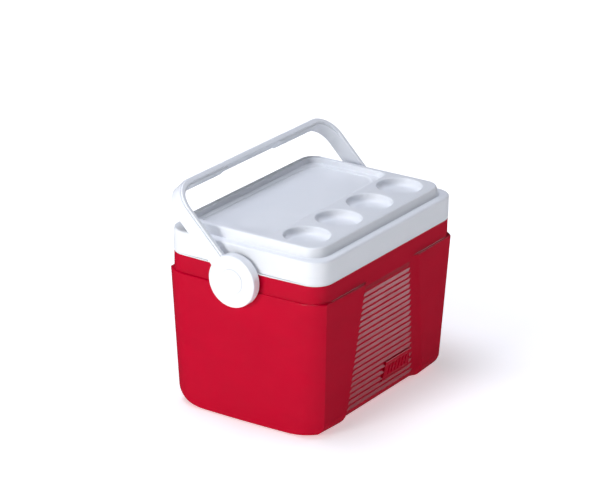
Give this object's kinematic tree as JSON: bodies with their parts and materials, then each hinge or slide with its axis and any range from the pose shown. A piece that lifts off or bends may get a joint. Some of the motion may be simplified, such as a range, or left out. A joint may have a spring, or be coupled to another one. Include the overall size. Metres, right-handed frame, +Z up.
{
  "type": "portable ice box",
  "caption": "Small insulated picnic ice box with a lift-off lid, can wells and tray in its top, ribbed side panels and a swinging carrying handle.",
  "frame": {"origin": "centre of the base, on the plane that the box stands on", "axes": "+Z up, X along the box between the two handle hubs, -Y out of the ribbed panel with the blank plate"},
  "size_m": [0.424, 0.2818, 0.3574],
  "materials": {
    "red_plastic": "satin moulded polypropylene",
    "white_plastic": "satin moulded polypropylene",
    "grey_plastic": "plain moulded acetal",
    "steel": "zinc-plated",
    "foam": "rigid polyurethane foam"
  },
  "bodies": {
    "chest": {"outer_shell": "red_plastic", "shell_insulation": "foam", "inner_liner": "white_plastic", "base_plug_left": "red_plastic", "base_plug_right": "red_plastic", "pivot_bush_left": "grey_plastic", "pivot_bush_right": "grey_plastic", "backing_plate_left": "grey_plastic", "backing_plate_right": "grey_plastic", "pivot_screw_left": "steel", "pivot_screw_right": "steel", "pivot_washer_left": "steel", "pivot_washer_right": "steel"},
    "lid": {"lid_top": "white_plastic", "lid_insulation": "foam", "lid_liner": "white_plastic", "lid_plug": "white_plastic"},
    "handle": {"handle_bail": "white_plastic", "hub_cap_left": "white_plastic", "hub_cap_right": "white_plastic"}
  },
  "joints": [
    {"name": "lid_lift", "type": "slide", "parent": "chest", "child": "lid", "axis": [0, 0, 1], "range_m": [0, 0.03]},
    {"name": "handle_swing", "type": "hinge", "parent": "chest", "child": "handle", "pos_m": [0, 0.0053, 0.233], "axis": [1, 0, 0], "range_deg": [-65, 145]}
  ]
}
